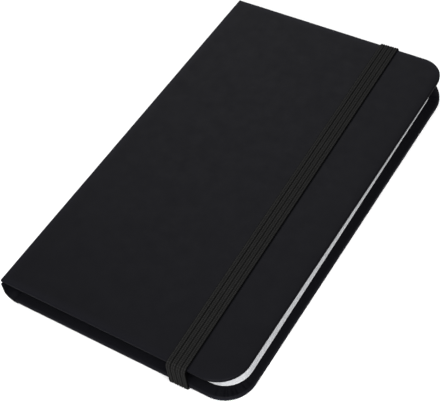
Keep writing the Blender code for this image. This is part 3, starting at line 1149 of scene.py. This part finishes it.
@dataclass
class TextBlock:
    """The pages: six signatures of thin leaves, the endpapers and the sheet at the middle."""

    wardrobe: Wardrobe
    leaves: int = 8
    leaf_share: float = 0.86
    drift: float = 0.05 * MM
    seed: int = 11
    radii: dict[End, float] = field(default_factory=lambda: {End.HEAD: 14.0 * MM,
                                                              End.TAIL: 9.4 * MM})
    sheet_fold: float = 0.90 * MM
    sheet_thickness: float = 0.03 * MM

    def outline(self, spine_x: float, trim: float = 0.0) -> list[Point]:
        """A leaf seen from above, trimmed a little askew at the fore-edge.

        Args:
            spine_x: Its edge at the spine.
            trim: How far its fore-edge stands back.

        Returns:
            The corners, anticlockwise.
        """
        low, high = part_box("signature_1")
        slope = math.tan(BOOK.fore_edge_skew)
        edge = high.x - high.y * slope - trim
        corners = []
        for end, first in ((End.TAIL, -90), (End.HEAD, 0)):
            radius = self.radii[end]
            y = end.value * (high.y - radius)
            corners += arc((edge - y * slope - radius, y), radius, first, first + 90, 10)
        return [(spine_x, low.y)] + corners + [(spine_x, high.y)]

    def build_signature(self, node: str, chance: random.Random) -> None:
        """Models one signature leaf by leaf, each a hair out of line with the next.

        Args:
            node: The signature's name in the frame.
            chance: Where the small shifts come from.
        """
        low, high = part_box(node)
        pitch = (high.z - low.z) / self.leaves
        pieces = []
        for k in range(self.leaves):
            trim = chance.uniform(0, self.drift)
            leaf = flat_piece(f"{node}_leaf_{k}", self.outline(low.x, trim), low.z + k * pitch)
            thicken(leaf, pitch * self.leaf_share)
            pieces.append(leaf)
        block = join_pieces(pieces, f"{node}_leaves")
        # Marks the leaves' edge faces, which get painted shade.
        cut = block.data.attributes.new("cut", "FLOAT", "FACE")
        for face in block.data.polygons:
            cut.data[face.index].value = float(abs(face.normal.z) < 0.5)
        self.wardrobe.dress(block, Slot.PAPER)
        body = frame["nodes"][node]["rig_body"]
        finish_piece(block, body, Slot.PAPER, (node,))

    def close_fold(self, sheet: bpy.types.Object, fold: float, level: float) -> None:
        """Joins two edges along the fold, one over the other, with a wall.

        Args:
            sheet: The sheet, still open along its fold.
            fold: Where the fold is.
            level: How far the two edges are above and below the middle.
        """
        with editing(sheet, "EDGE") as shape:
            for edge in shape.edges:
                edge.select_set(all(
                    vertex.co.x < fold + 1e-6
                    and abs(abs(vertex.co.z - BOOK.middle_z) - level) < 1e-6
                    for vertex in edge.verts))
            bpy.ops.mesh.edge_face_add()

    def build_middle_sheet(self) -> None:
        """Models the folded sheet at the book's middle, which joins its two halves."""
        fold = BOOK.fold_x + self.sheet_fold
        gap = self.sheet_thickness / 2
        z = BOOK.middle_z
        halves = []
        for sign in (-1, 1):
            base = z - gap - self.sheet_thickness if sign < 0 else z + gap
            half = flat_piece("middle_sheet", self.outline(fold), base)
            thicken(half, self.sheet_thickness)
            with editing(half):
                select_faces(half, lambda face: face.normal.x < -0.9)
                bpy.ops.mesh.delete(type="ONLY_FACE")
            for vertex in half.data.vertices:
                outside = (vertex.co.z - z) * sign > gap * 2
                if outside and abs(vertex.co.x - fold) < 1e-6:
                    vertex.co.x -= self.sheet_thickness
            halves.append(half)
        sheet = join_pieces(halves, "middle_sheet")
        for level in (gap + self.sheet_thickness, gap):
            self.close_fold(sheet, fold, level)
        with editing(sheet):
            bpy.ops.mesh.select_all(action="SELECT")
            bpy.ops.mesh.fill_holes(sides=4)
        tidy_normals(sheet)
        self.wardrobe.dress(sheet, Slot.PAPER)
        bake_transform(sheet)
        finish_piece(sheet, "", Slot.PAPER)

    def build(self) -> None:
        """Models all the leaves and dresses the endpapers."""
        chance = random.Random(self.seed)
        for k in range(1, 7):
            self.build_signature(f"signature_{k}", chance)
        self.build_middle_sheet()
        for name in ("front_pastedown", "back_pastedown", "front_flyleaf", "back_flyleaf"):
            self.wardrobe.dress(frame["nodes"][name], Slot.END_PAPER)


# ---- Elastic ------------------------------------------------------------------------------------


@dataclass
class Elastic:
    """The ribbed band: a loop over the front cover and two ends that go under the back one."""

    wardrobe: Wardrobe
    ribs: int = 4
    crest: float = 0.75 * MM
    rib_groove: float = 0.33 * MM
    cord_groove: float = 0.13 * MM
    samples: int = 6
    foot_y: float = 0.5 * MM

    width = 6.9 * MM
    lean = math.radians(1.56)
    slot_inset = 13.0 * MM

    @staticmethod
    def middle_x(y: float) -> float:
        """World x of the band's middle at a given y."""
        return BOOK.band_x - y * math.tan(Elastic.lean)

    def height(self, u: float) -> float:
        """Height of the ribbed face above the flat one.

        Args:
            u: Place across the band, from 0 to 1.

        Returns:
            The height in metres.
        """
        rib = u * self.ribs
        from_rib_edge = abs(rib - round(rib)) / self.ribs * self.width
        from_cord_edge = abs(rib - math.floor(rib) - 0.5) / self.ribs * self.width
        first = 1.25 if round(rib) == 1 else 1.0
        deep = self.rib_groove * first * math.exp(-((from_rib_edge / (0.17 * MM)) ** 2))
        shallow = self.cord_groove * math.exp(-((from_cord_edge / (0.13 * MM)) ** 2))
        cord = (u * self.ribs * 2) % 1.0 * 2 - 1
        return self.crest - deep - shallow - 0.05 * MM * cord * cord

    def profile(self) -> list[tuple[float, float, float]]:
        """The band's section: place across, height, and how near a crest it is.

        Returns:
            Points round the section, with the first one repeated at the end.
        """
        count = self.ribs * 2 * self.samples
        points = []
        for k in range(count + 1):
            u = k / count
            height = self.height(u)
            # Nearness to a crest sets the painted shade: darkest at the band's sides, partly dark
            # underneath.
            near = 0.0 if k in (0, count) else height / self.crest
            points.append(((u - 0.5) * self.width, height, near))
        points.append((self.width / 2, 0.12 * MM, 0.0))
        for k in range(5):
            points.append((self.width * (0.48 - 0.96 * k / 4), 0.0, 0.3))
        points.append((-self.width / 2, 0.12 * MM, 0.0))
        points.append(points[0])
        return points

    def sweep(self, name: str, path: list[tuple[float, float, float]]) -> bpy.types.Object:
        """Runs the section along a path in the band's own upright plane.

        Args:
            name: Name of the piece.
            path: Places as y, z and the direction in degrees of the ribbed side.

        Returns:
            The new object.
        """
        profile = self.profile()
        cos, sin = math.cos(self.lean), math.sin(self.lean)
        lengths = [0.0]
        for first, second in zip(path, path[1:]):
            lengths.append(lengths[-1] + math.hypot(second[0] - first[0], second[1] - first[1]))

        def place(column: int, row: int) -> Vector:
            """Place of one point of the sweep.

            Args:
                column: Which point of the section.
                row: Which point of the path.

            Returns:
                The point.
            """
            across, rise, _ = profile[column]
            y, z, facing = path[row]
            out_y = y + rise * math.cos(math.radians(facing))
            out_z = z + rise * math.sin(math.radians(facing))
            x = Elastic.middle_x(0) + across * cos - out_y * math.tan(self.lean)
            return Vector((x, out_y + across * sin, out_z))

        def uv(column: int, row: int) -> Point:
            """Surface coordinates of one point, in millimetres."""
            return ((profile[column][0] + self.width / 2) / MM, lengths[row] / MM)

        obj = swept_grid(name, len(profile) - 1, len(path) - 1, place, uv)
        attribute = obj.data.attributes.new("crest", "FLOAT", "POINT")
        table = {}
        for column, (across, rise, near) in enumerate(profile):
            for row in range(len(path)):
                spot = place(column, row)
                table[(round(spot.x, 7), round(spot.y, 7), round(spot.z, 7))] = near
        for vertex in obj.data.vertices:
            key = (round(vertex.co.x, 7), round(vertex.co.y, 7), round(vertex.co.z, 7))
            attribute.data[vertex.index].value = table.get(key, 0.7)
        smooth(obj, 60)
        self.wardrobe.dress(obj, Slot.ELASTIC)
        return obj

    def bend(self, centre: Point, radius: float, first: float, last: float, steps: int
             ) -> list[tuple[float, float, float]]:
        """Path points round a bend, each facing away from its centre."""
        points = arc(centre, radius, first, last, steps)
        return [(y, z, first + (last - first) * k / steps) for k, (y, z) in enumerate(points)]

    def loop_path(self) -> list[tuple[float, float, float]]:
        """The loop's path, from under the head edge over the front cover to the tail.

        Returns:
            Places on the band's flat face.
        """
        side = BOOK.half_length + 0.20 * MM
        top = BOOK.front_outer + 0.10 * MM
        bottom = self.crest
        path = [(side - self.foot_y - 0.45 * MM, bottom, -90.0)]
        path += self.bend((side - 0.45 * MM, bottom + 0.45 * MM), 0.45 * MM, -90, 0, 6)
        for k in range(1, 6):
            path.append((side, bottom + 0.45 * MM + (top - bottom - 1.75 * MM) * k / 6, 0.0))
        path += self.bend((side - 1.3 * MM, top - 1.3 * MM), 1.3 * MM, 0, 90, 9)
        reach = side - 1.3 * MM
        mirrored = [(-y, z, 180.0 - facing) for y, z, facing in path[::-1]]
        run = [(reach - 2 * reach * k / 60, top, 90.0) for k in range(1, 60)]
        return path + run + mirrored

    def end_path(self, end: End) -> list[tuple[float, float, float]]:
        """One end's path, from its slot in the back cover out to the loop's foot.

        Args:
            end: Which end of the spine.

        Returns:
            Places on the band's flat face.
        """
        side = BOOK.half_length + 0.20 * MM
        slot_y = BOOK.half_length - self.slot_inset
        last = side - self.foot_y - 0.45 * MM
        turn = 0.35 * MM
        path = [(slot_y + self.crest / 2, self.crest + 1.0 * MM, 180.0)]
        path += self.bend((slot_y + self.crest / 2 + turn, self.crest + turn), turn, 180, 270, 5)
        first = slot_y + self.crest / 2 + turn
        path += [(first + (last - first) * k / 12, self.crest, 270.0) for k in range(1, 13)]
        if end is End.TAIL:
            return [(-y, z, 180.0 - facing) for y, z, facing in path]
        return path

    def build(self) -> None:
        """Models the loop and both ends."""
        loop = self.sweep("elastic_loop", self.loop_path())
        finish_piece(loop, Body.ELASTIC, Slot.ELASTIC, ("elastic_band",))
        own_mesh(loop)
        for end in End:
            name = end.name.lower()
            tab = self.sweep(f"elastic_end_{name}", self.end_path(end))
            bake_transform(tab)
            finish_piece(tab, "", Slot.ELASTIC, (f"elastic_tab_{name}",))


# ---- Studio -------------------------------------------------------------------------------------


@dataclass
class Studio:
    """Floor, lights and camera."""

    target: Vector = field(default_factory=lambda: Vector((-3.150, -8.409, 0.601)) * MM)
    distance: float = 379.82 * MM
    azimuth: float = -51.21
    elevation: float = 49.76
    roll: float = -9.41
    lens: float = 91.20
    world_strength: float = 0.15
    floor_colour: tuple[float, float, float] = (0.93, 0.93, 0.93)
    floor_bounce: float = 0.35
    backdrop: float = 0.90

    def build_floor(self) -> None:
        """A plain pale floor, with a fine tooth so that it isn't glassy."""
        deselect_all()
        bpy.ops.mesh.primitive_grid_add(x_subdivisions=4, y_subdivisions=4, size=6.0)
        floor = bpy.context.active_object
        floor.name = "floor"
        material, graph, shader, _ = Finish("pale_floor", self.floor_colour, 0.9).start()
        seen = graph.add("ShaderNodeLightPath").outputs["Is Camera Ray"]
        tone = graph.maths("MULTIPLY_ADD", seen, 1 - self.floor_bounce, self.floor_bounce)
        colour = graph.add("ShaderNodeVectorMath", {0: self.floor_colour, "Scale": tone},
                           operation="SCALE").outputs[0]
        graph.tree.links.new(colour, shader.inputs["Base Color"])
        shader.inputs["Roughness"].default_value = 0.9
        floor.data.materials.append(material)

    def add_light(self, name: str, place: Point3, size: float, power: float) -> None:
        """A square soft light that looks at the notebook.

        Args:
            name: Its name.
            place: Where it hangs.
            size: Its side.
            power: Its power in watts.
        """
        data = bpy.data.lights.new(name, "AREA")
        data.shape = "SQUARE"
        data.size = size
        data.energy = power
        light = bpy.data.objects.new(name, data)
        light.location = place
        aim = self.target - Vector(place)
        light.rotation_euler = aim.to_track_quat("-Z", "Y").to_euler()
        bpy.context.scene.collection.objects.link(light)

    def build_camera(self) -> None:
        """The camera, turned about its line of sight by the roll."""
        azimuth, elevation = math.radians(self.azimuth), math.radians(self.elevation)
        back = Vector((math.cos(elevation) * math.cos(azimuth),
                       math.cos(elevation) * math.sin(azimuth), math.sin(elevation)))
        level = Vector((0, 0, 1)).cross(back).normalized()
        upright = back.cross(level)
        turn = math.radians(self.roll)
        right = level * math.cos(turn) + upright * math.sin(turn)
        up = back.cross(right)
        data = bpy.data.cameras.new("camera")
        data.lens = self.lens
        data.sensor_width = 36.0
        data.clip_start = 0.01
        camera = bpy.data.objects.new("camera", data)
        matrix = Matrix((right, up, back)).transposed().to_4x4()
        matrix.translation = self.target + back * self.distance
        camera.matrix_world = matrix
        bpy.context.scene.collection.objects.link(camera)
        bpy.context.scene.camera = camera

    def build(self) -> None:
        """Sets up floor, world, lights, camera and how the picture is shown."""
        self.build_floor()
        world = bpy.data.worlds.new("studio")
        world.use_nodes = True
        graph = Graph(world.node_tree)
        shade = world.node_tree.nodes["Background"]
        shade.inputs["Color"].default_value = (1, 1, 1, 1)
        seen = graph.add("ShaderNodeLightPath").outputs["Is Camera Ray"]
        strength = graph.maths("MULTIPLY_ADD", seen, self.backdrop - self.world_strength,
                               self.world_strength)
        graph.tree.links.new(strength, shade.inputs["Strength"])
        bpy.context.scene.world = world
        self.add_light("window", (-0.80, 1.06, 1.36), 0.80, 19.0)
        self.add_light("top", (0.55, -0.35, 0.95), 0.60, 10.5)
        self.add_light("fill", (0.30, -1.00, 0.50), 0.60, 14.0)
        self.build_camera()
        bpy.context.scene.view_settings.view_transform = "Standard"


def main() -> None:
    """Builds the notebook from its covers inwards, then the studio."""
    logging.basicConfig(level=logging.INFO, format="%(message)s")
    wardrobe = Wardrobe()
    Cover(Side.BACK, "cover_wrap_back", Body.BACK_HALF, wardrobe,
          {End.HEAD: 13.2 * MM, End.TAIL: 10.3 * MM}, 0.05 * MM, 0.0).build()
    Cover(Side.FRONT, "cover_wrap_front", Body.FRONT_COVER, wardrobe,
          {End.HEAD: 8.8 * MM, End.TAIL: 10.8 * MM}, 0.28 * MM, 0.75 * MM).build()
    Spine(wardrobe).build()
    TextBlock(wardrobe).build()
    Elastic(wardrobe).build()
    Studio().build()


if __name__ == "__main__":
    main()
